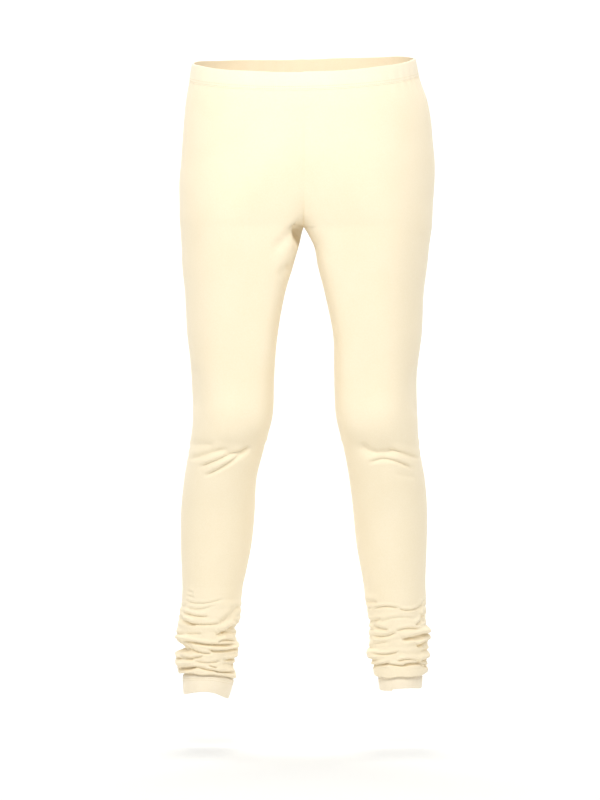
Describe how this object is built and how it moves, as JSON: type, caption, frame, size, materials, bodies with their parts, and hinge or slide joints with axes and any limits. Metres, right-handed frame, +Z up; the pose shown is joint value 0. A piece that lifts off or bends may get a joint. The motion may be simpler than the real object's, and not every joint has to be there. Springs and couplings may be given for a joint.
{
  "type": "churidar leggings",
  "caption": "Cream knitted cotton leggings held in a standing pose, with an elastic waistband, close-fitting legs and long ankles gathered in rolls above turned hems.",
  "frame": {"origin": "centre of the waist opening, where the garment is held", "axes": "+Z up along the legs towards the waist, -Y towards the front of the garment, +X towards the garment's own left leg"},
  "size_m": [0.3772, 0.2524, 0.9375],
  "materials": {
    "waistband": "matte cotton and elastane jersey over an elastic",
    "leg": "matte cream cotton and elastane jersey",
    "hem": "matte cream cotton and elastane jersey, doubled and coverstitched"
  },
  "bodies": {
    "root": {"waistband": "waistband", "left_leg": "leg", "right_leg": "leg", "left_hem": "hem", "right_hem": "hem"}
  },
  "joints": []
}
